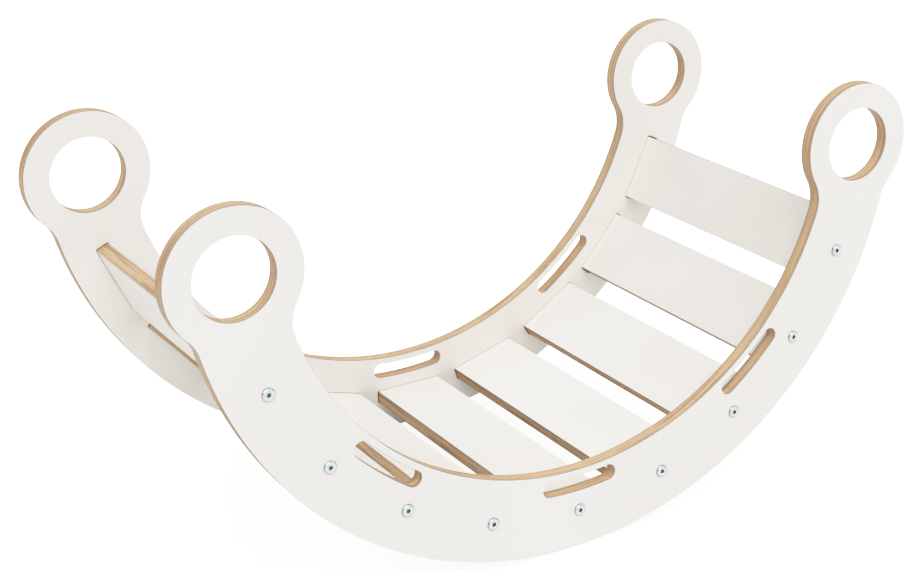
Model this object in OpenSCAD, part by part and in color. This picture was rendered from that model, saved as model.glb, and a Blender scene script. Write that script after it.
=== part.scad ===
// Children's rocker: two crescent side panels with grip rings, joined by nine slats.
// X runs along the length, Y across the width, Z up; the rolling edges touch Z = 0.

/* [Side panels] */
// Radius of the outer edge that rolls on the floor
outer_radius = 500; // [440:5:560]
// Width of the crescent between its outer and inner edges
band_width = 106; // [96:1:118]
// Thickness of the plywood the side panels are cut from
panel_thickness = 18; // [15:0.5:24]
// Clear distance between the two side panels
inside_width = 420; // [300:5:500]

/* [Grip rings] */
// Angle from the lowest point round to the centre of a ring
ring_angle = 83.6; // [80:0.2:88]
// Distance of the ring centre inside the outer radius
ring_inset = 59; // [50:1:66]
// Outer radius of a ring
ring_outer_radius = 81.5; // [74:0.5:90]
// Radius of the grip hole
ring_hole_radius = 48.5; // [35:0.5:55]
// Radius of the hollow where a ring joins the crescent
neck_radius = 50; // [30:1:70]

/* [Hand slots] */
// Angle from the middle slot to each of the other two
slot_angle = 40.2; // [34:0.2:46]
// Distance of the slot centreline from the inner edge
slot_inset = 19; // [17:0.5:22]
// Overall length of a slot
slot_length = 107; // [80:1:120]
// Height of a slot
slot_height = 20.5; // [16:0.5:24]

/* [Slats] */
// Angle between neighbouring slats
slat_pitch = 16.28; // [15:0.02:16.6]
// Distance of the slat middle plane inside the outer radius
slat_inset = 50; // [44:1:54]
// Width of a slat
slat_width = 96; // [70:1:104]
// Thickness of a slat
slat_thickness = 18; // [15:0.5:21]
// Depth of the pocket a slat end sits in
pocket_depth = 8; // [4:0.5:10]
// Gap above and below a slat end in its pocket
pocket_gap = 0.3; // [0.2:0.1:1]
// Gap beyond each long edge of a slat in its pocket
pocket_end_gap = 1.2; // [0.4:0.1:2]
// Radius that the cutter leaves in each pocket corner
corner_radius = 2; // [1:0.1:2.2]

/* [Connector bolts] */
// Shank diameter
bolt_diameter = 6; // [5:0.5:7]
// Length under the head
bolt_length = 35; // [30:1:45]
// Head diameter
head_diameter = 16; // [14:0.5:20]
// Head thickness
head_height = 2.4; // [1.8:0.1:3]
// Width of the bevel round the head
head_bevel = 1.2; // [0.4:0.1:1.6]
// Size of the hex socket across its flats
socket_size = 5; // [4:0.5:6]
// Depth of the hex socket
socket_depth = 3.2; // [2:0.1:4]

/* [Threaded inserts] */
// Diameter over the outer thread of an insert
insert_diameter = 10; // [9:0.5:12]
// Depth of its outer thread
insert_thread_depth = 0.8; // [0.4:0.1:1]
// Distance from one turn of the outer thread to the next
insert_pitch = 3; // [2.5:0.5:4]
// Number of turns
insert_turns = 7; // [5:1:7]
// Distance of the insert inside the end of its slat
insert_recess = 0.5; // [0.2:0.1:2]

/* [Hidden] */
$fn = 180;
slat_count = 9;
middle_slat = 5;
hole_clearance = 0.5;
overlap = 1;
drill_overrun = 2;
inner_radius = outer_radius - band_width;
slat_radius = outer_radius - slat_inset;
ring_radius = outer_radius - ring_inset;
slot_radius = inner_radius + slot_inset;
slot_half_angle = (slot_length - slot_height) / 2 / slot_radius * 180 / PI;
slat_length = inside_width + 2 * pocket_depth;
panel_inner_face = inside_width / 2;
panel_outer_face = panel_inner_face + panel_thickness;
insert_ridge = insert_pitch / 2;
insert_length = (insert_turns - 1) * insert_pitch + insert_ridge;
bolt_bore_depth = bolt_length - panel_thickness + pocket_depth + drill_overrun;
socket_radius = socket_size / 2 / cos(30);
laminate_colour = [0.93, 0.92, 0.90];
slat_colour = [0.90, 0.89, 0.87];
zinc_colour = [0.74, 0.78, 0.82];

// A point at a radius and an angle round from the lowest point of the crescent.
function polar(r, angle) = [r * sin(angle), -r * cos(angle)];

// Distance along the line from the arc centre to the ring centre at which two circles meet.
function meet_along(r_arc, r_ring) =
    (r_arc * r_arc - r_ring * r_ring + ring_radius * ring_radius) / 2 / ring_radius;

// Centre of a hollow that touches both the crescent edge and the ring.
function neck_centre(r_arc, r_ring) =
    let (along = meet_along(r_arc, r_ring), off = sqrt(r_arc * r_arc - along * along))
    polar(along, ring_angle) - off * [cos(ring_angle), sin(ring_angle)];

function slat_angle(i) = (i - middle_slat) * slat_pitch;

// Plain crescent between the two edges, cut off at the ring centres.
module crescent() {
    intersection() {
        difference() {
            circle(r = outer_radius);
            circle(r = inner_radius);
        }
        polygon([
            [0, 0],
            polar(2 * outer_radius, ring_angle),
            [2 * outer_radius, -2 * outer_radius],
            [-2 * outer_radius, -2 * outer_radius],
            polar(2 * outer_radius, -ring_angle)
        ]);
    }
}

// Solid web between the crescent and one ring, hollowed on both edges.
module neck() {
    inner = neck_centre(inner_radius - neck_radius, ring_outer_radius + neck_radius);
    outer = neck_centre(outer_radius + neck_radius, ring_outer_radius + neck_radius);
    difference() {
        polygon([
            inner,
            inner * slat_radius / norm(inner),
            outer * slat_radius / norm(outer),
            outer,
            polar(ring_radius, ring_angle)
        ]);
        translate(inner) circle(r = neck_radius);
        translate(outer) circle(r = neck_radius);
    }
}

// Arc-shaped hand slot with round ends, centred at the lowest point.
module hand_slot() {
    intersection() {
        difference() {
            circle(r = slot_radius + slot_height / 2);
            circle(r = slot_radius - slot_height / 2);
        }
        polygon([
            [0, 0],
            polar(outer_radius, slot_half_angle),
            polar(outer_radius, -slot_half_angle)
        ]);
    }
    for (side = [-1, 1])
        translate(polar(slot_radius, side * slot_half_angle))
            circle(d = slot_height);
}

// Outline of a side panel about the centre of its arcs.
module panel_outline() {
    difference() {
        union() {
            crescent();
            for (side = [0, 1])
                mirror([side, 0]) {
                    neck();
                    translate(polar(ring_radius, ring_angle))
                        circle(r = ring_outer_radius);
                }
        }
        for (side = [-1, 1])
            translate(polar(ring_radius, side * ring_angle))
                circle(r = ring_hole_radius);
        for (angle = [-slot_angle, 0, slot_angle])
            rotate(angle) hand_slot();
        for (i = [1 : slat_count])
            translate(polar(slat_radius, slat_angle(i)))
                circle(d = bolt_diameter + hole_clearance);
    }
}

// Pocket for one slat end, longer than the slat is wide so that its round corners clear the slat.
module pocket_outline() {
    w = slat_width / 2 + pocket_end_gap;
    h = slat_thickness / 2 + pocket_gap;
    square([2 * w, 2 * (h - corner_radius)], center = true);
    square([2 * (w - corner_radius), 2 * h], center = true);
    for (x = [-1, 1], y = [-1, 1])
        translate([x * (w - corner_radius), y * (h - corner_radius)])
            circle(r = corner_radius);
}

// Side panel lying flat, inner face at zero and outer face up.
module panel_flat() {
    difference() {
        linear_extrude(panel_thickness) panel_outline();
        for (i = [1 : slat_count])
            rotate(slat_angle(i))
                translate([0, -slat_radius, -overlap])
                    linear_extrude(pocket_depth + overlap) pocket_outline();
    }
}

module side_panel(turn) {
    color(laminate_colour)
        rotate([0, 0, turn])
            translate([0, -panel_inner_face, outer_radius])
                rotate([90, 0, 0]) panel_flat();
}

// Moves a piece drawn at the middle of a slat out to slat i.
module at_slat(i) {
    translate([0, 0, outer_radius])
        rotate([0, -slat_angle(i), 0])
            translate([0, 0, -slat_radius])
                children();
}

// Stepped bore in one end of a slat: wide for the insert, then narrow for the tip of the bolt.
module end_bore() {
    translate([0, -slat_length / 2 - overlap, 0])
        rotate([-90, 0, 0]) {
            cylinder(d = insert_diameter, h = insert_recess + insert_length + overlap);
            cylinder(d = bolt_diameter + 2 * hole_clearance, h = bolt_bore_depth + overlap);
        }
}

module slat(i) {
    color(slat_colour)
        at_slat(i)
            difference() {
                cube([slat_width, slat_length, slat_thickness], center = true);
                for (turn = [0, 180])
                    rotate([0, 0, turn]) end_bore();
            }
}

// Bolt standing on its head: the bevel first, then the head, the shank above it, the socket from below.
module bolt_body() {
    difference() {
        union() {
            cylinder(d1 = head_diameter - 2 * head_bevel, d2 = head_diameter, h = head_bevel);
            translate([0, 0, head_bevel])
                cylinder(d = head_diameter, h = head_height - head_bevel);
            cylinder(d = bolt_diameter, h = head_height + bolt_length);
        }
        translate([0, 0, -overlap])
            cylinder(r = socket_radius, h = socket_depth + overlap, $fn = 6);
    }
}

// Connector bolt on the front side; turn 180 puts it on the rear side.
module bolt(i, turn) {
    color(zinc_colour)
        at_slat(i)
            rotate([0, 0, turn])
                translate([0, -panel_outer_face - head_height, 0])
                    rotate([-90, 0, 0]) bolt_body();
}

// Threaded insert round the bolt: a sleeve with a ridge for each turn of its outer thread.
module insert_body() {
    ridge_diameter = insert_diameter - hole_clearance / 2;
    difference() {
        union() {
            cylinder(d = ridge_diameter - 2 * insert_thread_depth, h = insert_length);
            for (k = [0 : insert_turns - 1])
                translate([0, 0, k * insert_pitch])
                    cylinder(d = ridge_diameter, h = insert_ridge);
        }
        translate([0, 0, -overlap])
            cylinder(d = bolt_diameter, h = insert_length + 2 * overlap);
    }
}

// Insert in the front end of slat i; turn 180 puts it in the rear end.
module threaded_insert(i, turn) {
    color(zinc_colour)
        at_slat(i)
            rotate([0, 0, turn])
                translate([0, -slat_length / 2 + insert_recess, 0])
                    rotate([-90, 0, 0]) insert_body();
}

side_panel(0);  // side_panel_front
side_panel(180);  // side_panel_rear
slat(1);  // slat_1
slat(2);  // slat_2
slat(3);  // slat_3
slat(4);  // slat_4
slat(5);  // slat_5
slat(6);  // slat_6
slat(7);  // slat_7
slat(8);  // slat_8
slat(9);  // slat_9
bolt(1, 0);  // bolt_front_1
bolt(2, 0);  // bolt_front_2
bolt(3, 0);  // bolt_front_3
bolt(4, 0);  // bolt_front_4
bolt(5, 0);  // bolt_front_5
bolt(6, 0);  // bolt_front_6
bolt(7, 0);  // bolt_front_7
bolt(8, 0);  // bolt_front_8
bolt(9, 0);  // bolt_front_9
bolt(1, 180);  // bolt_rear_1
bolt(2, 180);  // bolt_rear_2
bolt(3, 180);  // bolt_rear_3
bolt(4, 180);  // bolt_rear_4
bolt(5, 180);  // bolt_rear_5
bolt(6, 180);  // bolt_rear_6
bolt(7, 180);  // bolt_rear_7
bolt(8, 180);  // bolt_rear_8
bolt(9, 180);  // bolt_rear_9
threaded_insert(1, 0);  // insert_front_1
threaded_insert(2, 0);  // insert_front_2
threaded_insert(3, 0);  // insert_front_3
threaded_insert(4, 0);  // insert_front_4
threaded_insert(5, 0);  // insert_front_5
threaded_insert(6, 0);  // insert_front_6
threaded_insert(7, 0);  // insert_front_7
threaded_insert(8, 0);  // insert_front_8
threaded_insert(9, 0);  // insert_front_9
threaded_insert(1, 180);  // insert_rear_1
threaded_insert(2, 180);  // insert_rear_2
threaded_insert(3, 180);  // insert_rear_3
threaded_insert(4, 180);  // insert_rear_4
threaded_insert(5, 180);  // insert_rear_5
threaded_insert(6, 180);  // insert_rear_6
threaded_insert(7, 180);  // insert_rear_7
threaded_insert(8, 180);  // insert_rear_8
threaded_insert(9, 180);  // insert_rear_9
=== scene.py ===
"""Looks for the children's rocker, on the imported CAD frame.

Plywood side panels and slats, connector bolts and threaded inserts, each in place of its CAD node."""

import math

import bmesh
import bpy
from mathutils import Matrix, Vector

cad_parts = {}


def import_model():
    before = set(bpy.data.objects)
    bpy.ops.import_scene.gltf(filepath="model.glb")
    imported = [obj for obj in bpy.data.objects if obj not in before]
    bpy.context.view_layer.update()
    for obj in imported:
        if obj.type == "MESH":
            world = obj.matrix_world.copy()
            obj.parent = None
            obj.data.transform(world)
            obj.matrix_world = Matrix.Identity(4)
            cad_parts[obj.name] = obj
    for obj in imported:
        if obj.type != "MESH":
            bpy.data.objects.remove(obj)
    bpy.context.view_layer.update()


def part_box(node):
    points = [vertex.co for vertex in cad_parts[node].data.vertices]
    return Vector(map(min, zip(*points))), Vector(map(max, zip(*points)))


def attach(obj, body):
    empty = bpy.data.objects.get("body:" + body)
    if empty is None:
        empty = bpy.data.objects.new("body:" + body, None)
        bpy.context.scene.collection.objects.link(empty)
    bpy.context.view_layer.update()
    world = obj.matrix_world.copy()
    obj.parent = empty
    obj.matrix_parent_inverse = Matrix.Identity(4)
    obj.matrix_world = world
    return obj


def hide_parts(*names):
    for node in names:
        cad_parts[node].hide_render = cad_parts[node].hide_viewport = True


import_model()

MM = 0.001
SIDES = ("front", "rear")
SLATS = range(1, 10)
MIDDLE_SLAT = 5

# Side panel outline, the same driving values as the CAD, in metres and degrees
OUTER_RADIUS = 500 * MM
INNER_RADIUS = 394 * MM
SLAT_RADIUS = 450 * MM
RING_RADIUS = 441 * MM
RING_ANGLE = 83.6
RING_OUTER = 81.5 * MM
RING_HOLE = 48.5 * MM
NECK_RADIUS = 50 * MM
SLOT_ANGLES = (-40.2, 0, 40.2)
SLOT_RADIUS = 413 * MM
SLOT_LENGTH = 107 * MM
SLOT_HEIGHT = 20.5 * MM
SLAT_PITCH = 16.28
BOLT_HOLE = 3.25 * MM

# Longest straight piece along each of its curves
EDGE_STEP = 4 * MM
NECK_STEP = 2.5 * MM
RING_STEP = 3 * MM
RING_HOLE_STEP = 2.5 * MM
SLOT_STEP = 2 * MM
SLOT_END_STEP = 1 * MM
BOLT_HOLE_STEP = 0.6 * MM
CORNER_STEP = 0.4 * MM

# Boards and pockets
PANEL_MIDDLE = 219 * MM
THICKNESS = 18 * MM
SLAT_WIDTH = 96 * MM
SLAT_LENGTH = 436 * MM
POCKET_DEPTH = 8 * MM
POCKET_HALF = Vector((49.2, 9.3)) * MM
CORNER_RADIUS = 2 * MM
EASING = 0.8 * MM
POCKET_EASING = 0.3 * MM

# Plywood: the film and the marks on a cut edge, and the width of a cross ply as a share of an even ply
FILM = 1.1 * MM
PLIES = 13
PLY_WANDER = 0.3 * MM
CROSS_PLY = 0.7
STAIN_FULL = 3.0 * MM
STAIN_END = 4.8 * MM
RELIEF = 0.08 * MM

# Fittings
INSERT_BORE = 5 * MM
INSERT_RADIUS = 4.875 * MM
INSERT_THREAD_DEPTH = 0.8 * MM
INSERT_PITCH = 3 * MM
INSERT_FLANK = 0.35 * MM
INSERT_TURNS = 7
INSERT_LENGTH = 19.5 * MM
INSERT_RECESS = 0.5 * MM
INSERT_CHAMFER = 0.3 * MM
BOLT_BORE = 3.5 * MM
BOLT_BORE_DEPTH = 27 * MM
BOLT_LENGTH = 35 * MM
SHANK_RADIUS = 3 * MM
SHANK_CHAMFER = 0.8 * MM
HEAD_RADIUS = 8 * MM
HEAD_HEIGHT = 2.4 * MM
HEAD_BEVEL = 1.2 * MM
HEAD_EASING = 0.15 * MM
HEAD_TURN = 37
SOCKET_APOTHEM = 2.5 * MM
SOCKET_MOUTH = 1.25 * SOCKET_APOTHEM
MOUTH_DEPTH = 0.3 * MM
SOCKET_DEPTH = 3.2 * MM
DRILL_POINT = 0.9 * MM

# Plating: the turned rings, and how far painted shade reaches from a crease, a rim and a socket's mouth
TURNING_PITCH = 0.35 * MM
TURNING_RELIEF = 0.004 * MM
CREASE_FULL = 0.1 * MM
CREASE_END = 0.4 * MM
RIM_FULL = 0.2 * MM
RIM_END = 0.7 * MM
MOUTH_END = 0.5 * MM

# Segments in each full turn
BOLT_SEGMENTS = 60
INSERT_SEGMENTS = 64
BORE_SEGMENTS = 64

# An edge that turns by more than this stays sharp. The first facet of an easing turns by 15 degrees.
SHARP_ANGLE = math.radians(12)

# Studio: name, azimuth, elevation and strength of each light, then the backdrop and the tone curve
LIGHTS = (
    ("key_left", -45, 45, 0.53),
    ("key_front", 0, 55, 0.42),
    ("fill_right", 90, 40, 0.35),
    ("fill_back", 180, 50, 0.25),
)
LIGHT_SPREAD = 50
FLOOR_REACH = 30
SURROUNDINGS = 0.34
BACKDROP_LIFT = 1.15
WHITE_POINT = 2.0
SHOULDER = 3.0


# ---------------------------------------------------------------- shader helpers


class Nodes:
    """Short calls for building one material's node tree."""

    def __init__(self, name):
        self.material = bpy.data.materials.new(name)
        self.material.use_nodes = True
        self.tree = self.material.node_tree
        self.shader = self.tree.nodes["Principled BSDF"]

    def link(self, source, socket):
        self.tree.links.new(source, socket)

    def put(self, value, socket):
        """Feeds a socket from another socket, or sets it to a constant."""
        if isinstance(value, bpy.types.NodeSocket):
            self.link(value, socket)
        else:
            socket.default_value = value

    def add(self, kind, **inputs):
        node = self.tree.nodes.new(kind)
        for name, value in inputs.items():
            self.put(value, node.inputs[name.replace("_", " ")])
        return node

    def maths(self, operation, a, b=0.0, c=0.0):
        node = self.tree.nodes.new("ShaderNodeMath")
        node.operation = operation
        for socket, value in zip(node.inputs, (a, b, c)):
            self.put(value, socket)
        return node.outputs[0]

    def scaled(self, vector, factors):
        node = self.tree.nodes.new("ShaderNodeVectorMath")
        node.operation = "MULTIPLY"
        self.put(vector, node.inputs[0])
        node.inputs[1].default_value = factors
        return node.outputs[0]

    def noise(self, vector, scale, detail=2.0, roughness=0.5):
        node = self.add("ShaderNodeTexNoise", Vector=vector, Scale=scale, Detail=detail, Roughness=roughness)
        return node.outputs[0]

    def ramp(self, value, low, high, out_low=0.0, out_high=1.0, smooth=True):
        """Goes from out_low at low to out_high at high, and holds still beyond both."""
        node = self.tree.nodes.new("ShaderNodeMapRange")
        node.interpolation_type = "SMOOTHSTEP" if smooth else "LINEAR"
        for socket, v in zip(node.inputs, (value, low, high, out_low, out_high)):
            self.put(v, socket)
        return node.outputs[0]

    def mix(self, factor, a, b):
        """Colour a where factor is 0, and colour b where it is 1."""
        node = self.tree.nodes.new("ShaderNodeMix")
        node.data_type = "RGBA"
        self.put(factor, node.inputs[0])
        self.put(a, node.inputs[6])
        self.put(b, node.inputs[7])
        return node.outputs[2]

    def blend(self, factor, a, b):
        """Number a where factor is 0, and number b where it is 1."""
        node = self.tree.nodes.new("ShaderNodeMix")
        for socket, value in zip(node.inputs, (factor, None, a, b)):
            if value is not None:
                self.put(value, socket)
        return node.outputs[0]

    def bump(self, height, distance, strength=1.0):
        node = self.add("ShaderNodeBump", Height=height, Distance=distance, Strength=strength)
        self.link(node.outputs[0], self.shader.inputs["Normal"])


def rgb(r, g, b):
    """A linear colour with full alpha."""
    return (r, g, b, 1.0)


# ---------------------------------------------------------------- materials

LAMINATE = rgb(0.845, 0.815, 0.768)
LAMINATE_WARM = rgb(0.82, 0.783, 0.728)
PLY_LONG = rgb(0.95, 0.69, 0.43)
PLY_LONG_DEEP = rgb(0.80, 0.54, 0.31)
PLY_END = rgb(0.17, 0.09, 0.045)
PLY_END_DEEP = rgb(0.09, 0.047, 0.024)
PLY_BAND = rgb(0.33, 0.19, 0.095)
GLUE = rgb(0.10, 0.055, 0.028)
# Dark resin of the film's backing at the arris, also used as the near-black painted shade of the routed
# pockets.
RESIN_AND_SHADE = rgb(0.04, 0.034, 0.028)
PLATE = rgb(0.78, 0.86, 0.87)
PLATE_DULL = rgb(0.62, 0.71, 0.73)
# Plating in painted shade, for a bolt head's crease and rim and a socket's mouth.
PLATE_SHADE = rgb(0.11, 0.15, 0.16)
# Painted shade on a hex socket's walls, and the floor painted paler as lit.
SOCKET_SHADE = rgb(0.004, 0.005, 0.006)
SOCKET_SHADE_PALE = rgb(0.015, 0.017, 0.018)
SOCKET_FLOOR = rgb(0.4, 0.44, 0.45)


def from_cross_ply(n, place, depth):
    """Distance from the middle of the nearest cross ply, in plies. depth is from the board's middle plane."""
    wander = n.maths("MULTIPLY", n.maths("SUBTRACT", n.noise(place, 14.0), 0.5), PLY_WANDER)
    from_film = n.maths("ADD", n.maths("ADD", depth, wander), THICKNESS / 2 - FILM)
    layer = n.maths("DIVIDE", from_film, (THICKNESS - 2 * FILM) / PLIES)
    return n.maths("ABSOLUTE", n.maths("SUBTRACT", n.maths("FLOORED_MODULO", layer, 2.0), 1.5))


def end_grain_share(n, from_cross, facing_main, facing_cross):
    """How much end grain shows: some on a main ply that is cut across, and most on every cross ply."""
    main = n.maths("MULTIPLY", n.maths("POWER", facing_main, 2.0), 0.3)
    cross = n.maths("MULTIPLY_ADD", n.maths("POWER", facing_cross, 2.0), 0.2, 0.8)
    return n.blend(n.maths("LESS_THAN", from_cross, CROSS_PLY / 2), main, cross)


def layered_noise(n, place, thickness_axis, along, across, roughness):
    """Noise drawn out along a board's layers: a low frequency along them and a high one across."""
    stretch = [along] * 3
    stretch[thickness_axis] = across
    return n.noise(n.scaled(place, stretch), 1.0, detail=3.0, roughness=roughness)


def wood_colour(n, place, thickness_axis, end_grain, streaks):
    """Birch on a cut edge, before its glue lines, with blotches and dark bands that follow the plies."""
    pores = n.noise(place, 1500.0, detail=2.0)
    blotches = n.noise(place, 22.0, detail=3.0)
    bands = layered_noise(n, place, thickness_axis, 9.0, 220.0, roughness=0.65)
    long_colour = n.mix(n.ramp(streaks, 0.3, 0.75), PLY_LONG, PLY_LONG_DEEP)
    end_colour = n.mix(n.ramp(pores, 0.35, 0.7), PLY_END, PLY_END_DEEP)
    wood = n.mix(end_grain, long_colour, end_colour)
    wood = n.mix(n.ramp(blotches, 0.35, 0.75, 0.0, 0.15), wood, PLY_LONG_DEEP)
    return n.mix(n.ramp(bands, 0.42, 0.66, 0.0, 0.8), wood, PLY_BAND)


def film_colour(n, place, facing_out):
    """White laminate with a dark line at the arris, which faces neither straight out nor along the board."""
    tone = n.noise(place, 5.0, detail=2.0)
    white = n.mix(n.ramp(tone, 0.3, 0.7), LAMINATE, LAMINATE_WARM)
    steepness = n.maths("ABSOLUTE", facing_out)
    off_edge = n.maths("GREATER_THAN", steepness, 0.15)
    off_face = n.maths("LESS_THAN", steepness, 0.9)
    return n.mix(n.maths("MULTIPLY", n.maths("MULTIPLY", off_edge, off_face), 0.9), white, RESIN_AND_SHADE)


def plywood(name, thickness_axis, middle, main_grain, cross_grain, pocket_shade=0.0):
    """White laminated birch plywood: film on the two faces, plies on every cut edge.

    The axes are 0, 1 or 2 in the piece's own coordinates. middle is the distance of the board's middle
    plane from zero. The two grains are the axes that the main plies and the thinner cross plies run
    along. The last argument is painted shade: how far the whole surface is darkened to near-black, as
    deep inside a routed pocket."""
    n = Nodes(name)
    coordinates = n.add("ShaderNodeTexCoord")
    place = coordinates.outputs["Object"]
    normal = n.add("ShaderNodeSeparateXYZ", Vector=coordinates.outputs["Normal"]).outputs
    depth = n.add("ShaderNodeSeparateXYZ", Vector=place).outputs[thickness_axis]
    if middle:
        depth = n.maths("SUBTRACT", n.maths("ABSOLUTE", depth), middle)
    from_face = n.maths("SUBTRACT", THICKNESS / 2, n.maths("ABSOLUTE", depth))
    from_cross = from_cross_ply(n, place, depth)
    to_joint = n.maths("ABSOLUTE", n.maths("SUBTRACT", from_cross, CROSS_PLY / 2))
    glue_line = n.ramp(to_joint, 0.03, 0.09, 0.6, 0.0)

    streaks = layered_noise(n, place, thickness_axis, 90.0, 1400.0, roughness=0.6)
    end_grain = end_grain_share(n, from_cross, normal[main_grain], normal[cross_grain])
    wood = wood_colour(n, place, thickness_axis, end_grain, streaks)
    wood = n.mix(glue_line, wood, GLUE)
    wood = n.mix(n.ramp(from_face, STAIN_FULL, STAIN_END, 0.6, 0.0), wood, PLY_BAND)
    on_film = n.maths("LESS_THAN", from_face, FILM)
    surface = n.mix(on_film, wood, film_colour(n, place, normal[thickness_axis]))
    # Painted shade: the last argument darkens the whole surface to near-black, for the deep routed pockets.
    n.link(n.mix(pocket_shade, surface, RESIN_AND_SHADE), n.shader.inputs["Base Color"])

    smudges = n.ramp(n.noise(place, 26.0, detail=4.0), 0.35, 0.7, 0.36, 0.46)
    wood_roughness = n.ramp(streaks, 0.2, 0.8, 0.55, 0.72)
    n.link(n.blend(on_film, wood_roughness, smudges), n.shader.inputs["Roughness"])

    pearl = n.maths("MULTIPLY", n.noise(place, 700.0, detail=2.0), 0.12)
    sawn = n.maths("SUBTRACT", streaks, n.maths("MULTIPLY", glue_line, 0.8))
    n.bump(n.blend(on_film, sawn, pearl), RELIEF, 0.6)
    return n.material


def zinc(name, colour, dark):
    """Bright zinc plating with faint turned rings about Z.

    A bolt head's crease and rim are darkened with painted shade.
    """
    n = Nodes(name)
    place = n.add("ShaderNodeTexCoord").outputs["Object"]
    axes = n.add("ShaderNodeSeparateXYZ", Vector=place).outputs
    squares = [n.maths("POWER", axis, 2.0) for axis in (axes[0], axes[1])]
    radius = n.maths("SQRT", n.maths("ADD", *squares))
    rings = n.maths("SINE", n.maths("MULTIPLY", radius, 2 * math.pi / TURNING_PITCH))
    patches = n.noise(place, 420.0, detail=3.0)
    plate = n.mix(n.ramp(patches, 0.3, 0.75), colour, dark)
    # Painted shade: a dark line along the crease where the bevel meets the top, and a dark rim round the
    # head.
    crease = n.maths("ABSOLUTE", n.maths("SUBTRACT", radius, HEAD_RADIUS - HEAD_BEVEL))
    plate = n.mix(n.ramp(crease, CREASE_FULL, CREASE_END, 0.55, 0.0), plate, PLATE_SHADE)
    rim = n.ramp(radius, HEAD_RADIUS - RIM_END, HEAD_RADIUS - RIM_FULL, 0.0, 0.85)
    plate = n.mix(rim, plate, PLATE_SHADE)
    n.link(plate, n.shader.inputs["Base Color"])
    n.shader.inputs["Metallic"].default_value = 1.0
    n.link(n.ramp(patches, 0.25, 0.75, 0.24, 0.4), n.shader.inputs["Roughness"])
    n.bump(rings, TURNING_RELIEF, 0.5)
    return n.material


def hex_socket():
    """The inside of a hex socket in painted shade: near-black walls, paler at the mouth.

    The floor, where it faces out, is painted paler as lit.
    """
    n = Nodes("socket_inside")
    coordinates = n.add("ShaderNodeTexCoord")
    place = coordinates.outputs["Object"]
    height = n.add("ShaderNodeSeparateXYZ", Vector=place).outputs[2]
    facing_out = n.add("ShaderNodeSeparateXYZ", Vector=coordinates.outputs["Normal"]).outputs[2]
    # Painted shade: mottled near-black walls.
    mottle = n.noise(place, 900.0, detail=3.0)
    walls = n.mix(mottle, SOCKET_SHADE, SOCKET_SHADE_PALE)
    # The painted shade eases to the shaded plating tone at the mouth.
    at_mouth = n.ramp(height, HEAD_HEIGHT - MOUTH_END, HEAD_HEIGHT, smooth=False)
    walls = n.mix(at_mouth, walls, PLATE_SHADE)
    # Painted light: the floor, where it faces out, is left paler than the walls.
    at_bottom = n.maths("LESS_THAN", height, HEAD_HEIGHT - 0.9 * SOCKET_DEPTH)
    lit_floor = n.maths("MULTIPLY", at_bottom, n.ramp(facing_out, 0.3, 0.8))
    n.link(n.mix(lit_floor, walls, SOCKET_FLOOR), n.shader.inputs["Base Color"])
    n.shader.inputs["Metallic"].default_value = 0.4
    n.link(n.ramp(mottle, 0.3, 0.7, 0.5, 0.7), n.shader.inputs["Roughness"])
    return n.material


# ---------------------------------------------------------------- panel outline


def polar(radius, degrees):
    """A point at a radius and an angle round from the lowest point, about the arc centre."""
    a = math.radians(degrees)
    return Vector((radius * math.sin(a), -radius * math.cos(a)))


def neck_centre(arc, ring):
    """Centre of a hollow that touches both the crescent edge and the ring."""
    along = (arc**2 - ring**2 + RING_RADIUS**2) / 2 / RING_RADIUS
    a = math.radians(RING_ANGLE)
    return polar(along, RING_ANGLE) - math.sqrt(arc**2 - along**2) * Vector((math.cos(a), math.sin(a)))


def heading(centre, point):
    """The angle at which point is seen from centre, in radians."""
    return math.atan2(point.y - centre.y, point.x - centre.x)


def arc(centre, radius, start, end, step, inside=1):
    """(point, normal out of the material) pairs along an arc, its end left out.

    inside is 1 where the material lies on the centre's side of the arc, and -1 where it lies outside it."""
    count = max(2, math.ceil(abs(end - start) * radius / step))
    made = []
    for k in range(count):
        a = start + (end - start) * k / count
        normal = Vector((math.cos(a), math.sin(a)))
        made.append((centre + radius * normal, inside * normal))
    return made


def mirrored(points):
    """The same run on the other side of the centreline, in the direction that carries on from it."""
    return [(Vector((-p.x, p.y)), Vector((-n.x, n.y))) for p, n in reversed(points)]


def unwound(start, end, way):
    """end, moved by a whole turn if need be so that start to end goes the way given, 1 or -1."""
    return end + 2 * math.pi * way if (end - start) * way < 0 else end


def outer_loop():
    """The panel's outside edge, anticlockwise from the lowest point."""
    origin, ring = Vector((0, 0)), polar(RING_RADIUS, RING_ANGLE)
    low = neck_centre(OUTER_RADIUS + NECK_RADIUS, RING_OUTER + NECK_RADIUS)
    high = neck_centre(INNER_RADIUS - NECK_RADIUS, RING_OUTER + NECK_RADIUS)
    bottom = -math.pi / 2
    run = arc(origin, OUTER_RADIUS, bottom, heading(origin, low), EDGE_STEP)
    start, end = heading(origin, low) + math.pi, heading(low, ring)
    run += arc(low, NECK_RADIUS, start, unwound(start, end, -1), NECK_STEP, -1)
    start, end = heading(ring, low), heading(ring, high)
    run += arc(ring, RING_OUTER, start, unwound(start, end, 1), RING_STEP)
    start, end = heading(high, ring), heading(origin, high)
    run += arc(high, NECK_RADIUS, start, unwound(start, end, -1), NECK_STEP, -1)
    run += arc(origin, INNER_RADIUS, heading(origin, high), bottom, EDGE_STEP, -1)
    run.append((polar(INNER_RADIUS, 0), Vector((0, 1))))
    return run[:-1] + mirrored(run)[:-1]


def round_hole(centre, radius, step):
    """A full circle, with the material outside it."""
    return arc(centre, radius, 0, -2 * math.pi, step, -1)


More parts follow.
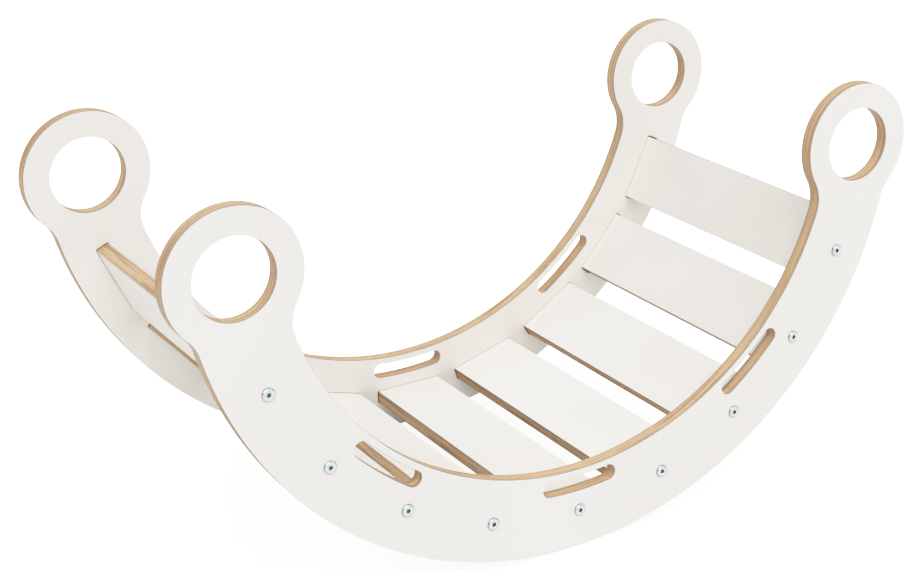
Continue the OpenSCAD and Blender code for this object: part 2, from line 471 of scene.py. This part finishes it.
def slot_loop(degrees):
    """A hand slot: two arcs about the panel's centre and two round ends."""
    origin, half = Vector((0, 0)), (SLOT_LENGTH - SLOT_HEIGHT) / 2 / SLOT_RADIUS
    middle, r = math.radians(degrees) - math.pi / 2, SLOT_HEIGHT / 2
    right = polar(SLOT_RADIUS, degrees + math.degrees(half))
    left = polar(SLOT_RADIUS, degrees - math.degrees(half))
    loop = arc(origin, SLOT_RADIUS - r, middle - half, middle + half, SLOT_STEP)
    loop += arc(right, r, middle + half + math.pi, middle + half, SLOT_END_STEP, -1)
    loop += arc(origin, SLOT_RADIUS + r, middle + half, middle - half, SLOT_STEP, -1)
    loop += arc(left, r, middle - half, middle - half - math.pi, SLOT_END_STEP, -1)
    return loop


def pocket_loop(degrees):
    """Rectangle with round corners for a slat end."""
    tilt = Matrix.Rotation(math.radians(degrees), 2)
    loop = []
    for turn, (sx, sy) in enumerate(((1, 1), (-1, 1), (-1, -1), (1, -1))):
        corner = Vector((sx * (POCKET_HALF.x - CORNER_RADIUS), sy * (POCKET_HALF.y - CORNER_RADIUS)))
        first, last = turn * math.pi / 2, (turn + 1) * math.pi / 2
        loop += arc(corner, CORNER_RADIUS, first, last, CORNER_STEP, -1)
        end = Vector((math.cos(last), math.sin(last)))
        loop.append((corner + CORNER_RADIUS * end, -end))
    middle = polar(SLAT_RADIUS, degrees)
    return [(tilt @ p + middle, tilt @ n) for p, n in reversed(loop)]


# ---------------------------------------------------------------- mesh helpers


def shade(mesh):
    """Smooth shading, except over the sharp edges."""
    mesh.shade_smooth()
    mesh.set_sharp_from_angle(angle=SHARP_ANGLE)


def finished(bm, name, *materials):
    """A new object from bm, smooth except over its sharp edges."""
    bmesh.ops.recalc_face_normals(bm, faces=bm.faces[:])
    mesh = bpy.data.meshes.new(name)
    bm.to_mesh(mesh)
    bm.free()
    shade(mesh)
    for material in materials:
        mesh.materials.append(material)
    made = bpy.data.objects.new(name, mesh)
    bpy.context.scene.collection.objects.link(made)
    return made


def ring_of(bm, loop, y, inset, place):
    """A ring of vertices that follows a loop at depth y, moved into the material by inset."""
    return [bm.verts.new(place(p - inset * n, y)) for p, n in loop]


def join(bm, a, b):
    """Faces between two rings with the same number of vertices."""
    for k in range(len(a)):
        bm.faces.new((a[k - 1], a[k], b[k], b[k - 1]))


def wall(bm, loop, y_start, y_end, ease_start, ease_end, place):
    """The wall that a loop sweeps between two depths, its rims eased. Returns its first and last rings."""

    def eased_rim(y, ease, way):
        turn = [math.radians(degrees) for degrees in ((0, 30, 60, 90) if ease else (90,))]
        return [(y + way * ease * (1 - math.cos(a)), ease * (1 - math.sin(a))) for a in turn]

    stations = eased_rim(y_start, ease_start, 1) + eased_rim(y_end, ease_end, -1)[::-1]
    rings = [ring_of(bm, loop, y, inset, place) for y, inset in stations]
    for a, b in zip(rings, rings[1:]):
        join(bm, a, b)
    return rings[0], rings[-1]


def cap(bm, *rings):
    """A flat face bounded by the first ring, with the others as holes."""
    pairs = [(ring[k - 1], ring[k]) for ring in rings for k in range(len(ring))]
    edges = [bm.edges.get(pair) or bm.edges.new(pair) for pair in pairs]
    bmesh.ops.triangle_fill(bm, use_beauty=True, use_dissolve=False, edges=edges)


def cut(target, *cutters):
    """Takes the cutters' shapes out of target for good."""
    for cutter in cutters:
        modifier = target.modifiers.new("cut", "BOOLEAN")
        modifier.object, modifier.operation, modifier.solver = cutter, "DIFFERENCE", "EXACT"
    depsgraph = bpy.context.evaluated_depsgraph_get()
    mesh = bpy.data.meshes.new_from_object(target.evaluated_get(depsgraph))
    target.modifiers.clear()
    old, target.data = target.data, mesh
    mesh.name = old.name
    bpy.data.meshes.remove(old)
    for cutter in cutters:
        bpy.data.objects.remove(cutter)
    shade(mesh)


def rod(name, radius, start, end):
    """A plain cylinder between two points, to cut with."""
    bm = bmesh.new()
    start, end = Vector(start), Vector(end)
    turn = (end - start).to_track_quat("Z", "Y").to_matrix().to_4x4()
    matrix = Matrix.Translation((start + end) / 2) @ turn
    bmesh.ops.create_cone(
        bm,
        cap_ends=True,
        segments=BORE_SEGMENTS,
        radius1=radius,
        radius2=radius,
        depth=(end - start).length,
        matrix=matrix,
    )
    return finished(bm, name)


def block(name, size, ease):
    """A box about its own middle, with rounded edges."""
    bm = bmesh.new()
    bmesh.ops.create_cube(bm, size=1.0, matrix=Matrix.Diagonal((*size, 1)))
    bmesh.ops.bevel(bm, geom=bm.edges[:], offset=ease, segments=3, profile=0.5, affect="EDGES")
    return finished(bm, name)


def hexagon_reach(apothem, angle):
    """Distance from the middle of a hexagon to its side, at an angle."""
    sector = math.pi / 3
    return apothem / math.cos((angle + sector / 2) % sector - sector / 2)


# ---------------------------------------------------------------- pieces


def hang(piece, slot, *nodes):
    """Puts a finished piece on the CAD body in place of its CAD nodes."""
    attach(piece, "root")
    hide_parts(*nodes)


def placed(name, mesh, matrix):
    """One more piece that shares a mesh."""
    piece = bpy.data.objects.new(name, mesh)
    bpy.context.scene.collection.objects.link(piece)
    piece.matrix_world = matrix
    return piece


def bolt_pocket(bm, angle, depth, place):
    """A bolt hole and the blind pocket behind it. Returns their rims on the panel's two faces."""
    before = set(bm.faces)
    hole = round_hole(polar(SLAT_RADIUS, angle), BOLT_HOLE, BOLT_HOLE_STEP)
    bottom = depth - POCKET_DEPTH
    outer_rim, hole_end = wall(bm, hole, 0, bottom, 0, 0, place)
    pocket_floor, inner_rim = wall(bm, pocket_loop(angle), bottom, depth, 0, POCKET_EASING, place)
    cap(bm, pocket_floor, hole_end)
    # The hole and pocket faces take the second material, which is painted in shade.
    for face in set(bm.faces) - before:
        face.material_index = 1
    return outer_rim, inner_rim


def side_panel(side, board, routed):
    """Side panel with rings, hand slots, bolt holes and the blind pockets that the slat ends sit in."""
    node = f"side_panel_{side}"
    low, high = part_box(node)
    centre_z = low.z + OUTER_RADIUS
    outside, way = (low.y, 1) if side == "front" else (high.y, -1)
    depth = high.y - low.y

    def place(p, inward):
        return (p.x, outside + way * inward, centre_z + p.y)

    through = [outer_loop()]
    through += [round_hole(polar(RING_RADIUS, s * RING_ANGLE), RING_HOLE, RING_HOLE_STEP) for s in (-1, 1)]
    through += [slot_loop(a) for a in SLOT_ANGLES]
    bm = bmesh.new()
    rims = [wall(bm, loop, 0, depth, EASING, EASING, place) for loop in through]
    rims += [bolt_pocket(bm, (i - MIDDLE_SLAT) * SLAT_PITCH, depth, place) for i in SLATS]
    for face_rims in zip(*rims):
        cap(bm, *face_rims)
    hang(finished(bm, f"plywood_panel_{side}", board, routed), "panel", node)


def slat_mesh(material):
    """One slat about its own middle: X across, Y along, Z up, with a stepped bore in each end."""
    board = block("plywood_slat", (SLAT_WIDTH, SLAT_LENGTH, THICKNESS), EASING)
    cutters = []
    for s in (-1, 1):
        end = s * SLAT_LENGTH / 2
        for radius, depth in ((BOLT_BORE, BOLT_BORE_DEPTH), (INSERT_BORE, INSERT_RECESS + INSERT_LENGTH)):
            cutters.append(rod("bore", radius, (0, end + s * MM, 0), (0, end - s * depth, 0)))
    cut(board, *cutters)
    board.data.materials.clear()
    board.data.materials.append(material)
    return board


def slat_frame(node):
    """Place and tilt of a slat, from its CAD box."""
    low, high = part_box(node)
    middle = (low + high) / 2
    centre_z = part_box("side_panel_front")[0].z + OUTER_RADIUS
    tilt = math.atan2(middle.x, centre_z - middle.z)
    return Matrix.Translation(middle) @ Matrix.Rotation(-tilt, 4, "Y")


def slats(material):
    """The nine slats, which share one mesh."""
    board = slat_mesh(material)
    for i in SLATS:
        piece = placed(f"plywood_slat_{i}", board.data, slat_frame(f"slat_{i}"))
        hang(piece, "slat", f"slat_{i}")
    bpy.data.objects.remove(board)


def round_ring(bm, radius, z, segments):
    """A circle of vertices about Z."""
    turn = (2 * math.pi * k / segments for k in range(segments))
    return [bm.verts.new((radius * math.cos(a), radius * math.sin(a), z)) for a in turn]


def hexagon_ring(bm, apothem, z, segments):
    """As many vertices as a circle has, round a hexagon."""
    turn = (2 * math.pi * k / segments for k in range(segments))
    reach = ((hexagon_reach(apothem, a), a) for a in turn)
    return [bm.verts.new((r * math.cos(a), r * math.sin(a), z)) for r, a in reach]


def bolt_mesh(plated, socket_shaded):
    """Connector bolt on its own Z axis, seat of the head at zero and the head above it."""
    bm = bmesh.new()
    r, h, b, e = HEAD_RADIUS, HEAD_HEIGHT, HEAD_BEVEL, HEAD_EASING
    profile = (
        (SHANK_RADIUS - SHANK_CHAMFER, -BOLT_LENGTH),
        (SHANK_RADIUS, -BOLT_LENGTH + SHANK_CHAMFER),
        (SHANK_RADIUS, 0),
        (r - e, 0),
        (r, e),
        (r, h - b - e),
        (r - 0.3 * e, h - b + 0.3 * e),
        (r - b + 0.8 * e, h - 0.8 * e),
        (r - b, h - 0.2 * e),
        (r - b - e, h),
        (SOCKET_MOUTH, h),
    )
    rings = [round_ring(bm, radius, z, BOLT_SEGMENTS) for radius, z in profile]
    for z in (h - MOUTH_DEPTH, h - SOCKET_DEPTH):
        rings.append(hexagon_ring(bm, SOCKET_APOTHEM, z, BOLT_SEGMENTS))
    for a, c in zip(rings, rings[1:]):
        join(bm, a, c)
    bm.faces.new(rings[0])
    drill_point = bm.verts.new((0, 0, h - SOCKET_DEPTH - DRILL_POINT))
    for k in range(BOLT_SEGMENTS):
        bm.faces.new((rings[-1][k - 1], rings[-1][k], drill_point))
    # The socket's faces take the second material, painted in shade.
    for face in bm.faces:
        middle = face.calc_center_median()
        if middle.to_2d().length < SOCKET_MOUTH and -SOCKET_DEPTH < middle.z < h - MOUTH_DEPTH:
            face.material_index = 1
    return finished(bm, "connector_bolt", plated, socket_shaded)


def insert_mesh(plated):
    """Threaded insert on its own Z axis, its outer end at zero: a sleeve with a ridge for each outer turn."""
    bm = bmesh.new()
    root, flank, crest = INSERT_RADIUS - INSERT_THREAD_DEPTH, INSERT_FLANK, INSERT_PITCH / 2
    profile = []
    for k in range(INSERT_TURNS):
        z = k * INSERT_PITCH
        profile += [(root, z), (INSERT_RADIUS, z + flank)]
        profile += [(INSERT_RADIUS, z + crest - flank), (root, z + crest)]
    bore, chamfer = SHANK_RADIUS, INSERT_CHAMFER
    profile += [(bore + chamfer, INSERT_LENGTH), (bore, INSERT_LENGTH - chamfer)]
    profile += [(bore, chamfer), (bore + chamfer, 0)]
    rings = [round_ring(bm, radius, z, INSERT_SEGMENTS) for radius, z in profile]
    for a, b in zip(rings, rings[1:] + rings[:1]):
        join(bm, a, b)
    return finished(bm, "threaded_insert", plated)


def outer_end(node, side):
    """The middle of a CAD box's outer end on one side of the rocker."""
    low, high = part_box(node)
    middle = (low + high) / 2
    return Vector((middle.x, low.y if side == "front" else high.y, middle.z))


def fittings(plated, socket_shaded):
    """A bolt and a threaded insert at each end of each slat, where the CAD boxes put them."""
    bolt, insert = bolt_mesh(plated, socket_shaded), insert_mesh(plated)
    toward_front, toward_rear = (Matrix.Rotation(s * math.pi / 2, 4, "X") for s in (1, -1))
    for side in SIDES:
        outward, inward = (toward_front, toward_rear) if side == "front" else (toward_rear, toward_front)
        seat = outer_end(f"side_panel_{side}", side).y
        for i in SLATS:
            tilt = slat_frame(f"slat_{i}").to_3x3().to_4x4()
            turned = Matrix.Rotation(math.radians(HEAD_TURN * i), 4, "Z")
            head = outer_end(f"bolt_{side}_{i}", side)
            stand = Matrix.Translation((head.x, seat, head.z)) @ tilt @ outward @ turned
            hang(placed(f"connector_bolt_{side}_{i}", bolt.data, stand), "bolt", f"bolt_{side}_{i}")
            mouth = outer_end(f"insert_{side}_{i}", side)
            stand = Matrix.Translation(mouth) @ tilt @ inward
            hang(placed(f"threaded_insert_{side}_{i}", insert.data, stand), "insert", f"insert_{side}_{i}")
    bpy.data.objects.remove(bolt)
    bpy.data.objects.remove(insert)


# ---------------------------------------------------------------- stage, light and camera


def floor():
    """A pale floor that the lens sees as slightly overexposed, as a studio sweep is."""
    bm = bmesh.new()
    bmesh.ops.create_grid(bm, x_segments=1, y_segments=1, size=FLOOR_REACH)
    n = Nodes("pale_floor")
    n.shader.inputs["Base Color"].default_value = rgb(0.86, 0.86, 0.86)
    n.shader.inputs["Roughness"].default_value = 0.9
    n.shader.inputs["Emission Color"].default_value = rgb(1, 1, 1)
    seen = n.add("ShaderNodeLightPath").outputs["Is Camera Ray"]
    n.link(n.maths("MULTIPLY", seen, BACKDROP_LIFT), n.shader.inputs["Emission Strength"])
    made = finished(bm, "floor", n.material)


def soft_light(name, azimuth, elevation, strength):
    """A wide, soft light. Azimuth 0 comes from -Y and 90 from +X.

    Strength 1 lights a white surface that faces it fully."""
    data = bpy.data.lights.new(name, "SUN")
    data.energy, data.angle = strength * math.pi, math.radians(LIGHT_SPREAD)
    light = bpy.data.objects.new(name, data)
    bpy.context.scene.collection.objects.link(light)
    a, e = math.radians(azimuth), math.radians(elevation)
    toward = Vector((math.sin(a) * math.cos(e), -math.cos(a) * math.cos(e), math.sin(e)))
    light.matrix_world = toward.to_track_quat("Z", "Y").to_matrix().to_4x4()


def world():
    """Even white surroundings, seen by the lens at the backdrop's brightness."""
    made = bpy.data.worlds.new("studio")
    made.use_nodes = True
    tree = made.node_tree
    background = tree.nodes["Background"]
    background.inputs["Color"].default_value = rgb(1.0, 0.975, 0.935)
    seen = tree.nodes.new("ShaderNodeLightPath").outputs["Is Camera Ray"]
    lift = tree.nodes.new("ShaderNodeMapRange")
    lift.inputs["To Min"].default_value, lift.inputs["To Max"].default_value = SURROUNDINGS, WHITE_POINT
    tree.links.new(seen, lift.inputs["Value"])
    tree.links.new(lift.outputs[0], background.inputs["Strength"])
    bpy.context.scene.world = made


def film_response():
    """A photographic shoulder: dark tones stay as they are and whites ease in to the white point."""
    view = bpy.context.scene.view_settings
    view.view_transform = "Standard"
    view.use_curve_mapping = True
    mapping = view.curve_mapping
    mapping.white_level = (WHITE_POINT,) * 3

    def response(x):
        return x / (1 + x**SHOULDER) ** (1 / SHOULDER)

    points = mapping.curves[3].points
    steps = 12
    for k in range(1, steps):
        x = k / steps
        points.new(x, response(x * WHITE_POINT) / response(WHITE_POINT))
    mapping.update()


def camera():
    """The photograph's view: place in metres, then yaw, pitch and roll in degrees."""
    yaw, pitch, roll = math.radians(33.942), math.radians(18.828), math.radians(0.092)
    data = bpy.data.cameras.new("camera")
    data.lens, data.sensor_width = 72.64, 36.0
    data.shift_x, data.shift_y = -0.1263, -0.0795
    data.clip_start, data.clip_end = 0.05, 100
    made = bpy.data.objects.new("camera", data)
    bpy.context.scene.collection.objects.link(made)
    turn = Matrix.Rotation(-yaw, 4, "Z") @ Matrix.Rotation(math.pi / 2 - pitch, 4, "X")
    turn = turn @ Matrix.Rotation(-roll, 4, "Z")
    made.matrix_world = Matrix.Translation((-1.1601, -1.9448, 1.1487)) @ turn
    bpy.context.scene.camera = made


camera()
world()
film_response()
for light in LIGHTS:
    soft_light(*light)
floor()

panel_board = plywood("laminated_panel", 1, PANEL_MIDDLE, 0, 2)
# The routed pockets and bolt holes are painted near-black as shade.
panel_pocket_shaded = plywood("routed_pocket_shaded", 1, PANEL_MIDDLE, 0, 2, pocket_shade=0.95)
slat_board = plywood("laminated_slat", 2, 0, 1, 0)
plating = zinc("zinc_plating", PLATE, PLATE_DULL)
for side in SIDES:
    side_panel(side, panel_board, panel_pocket_shaded)
slats(slat_board)
fittings(plating, hex_socket())
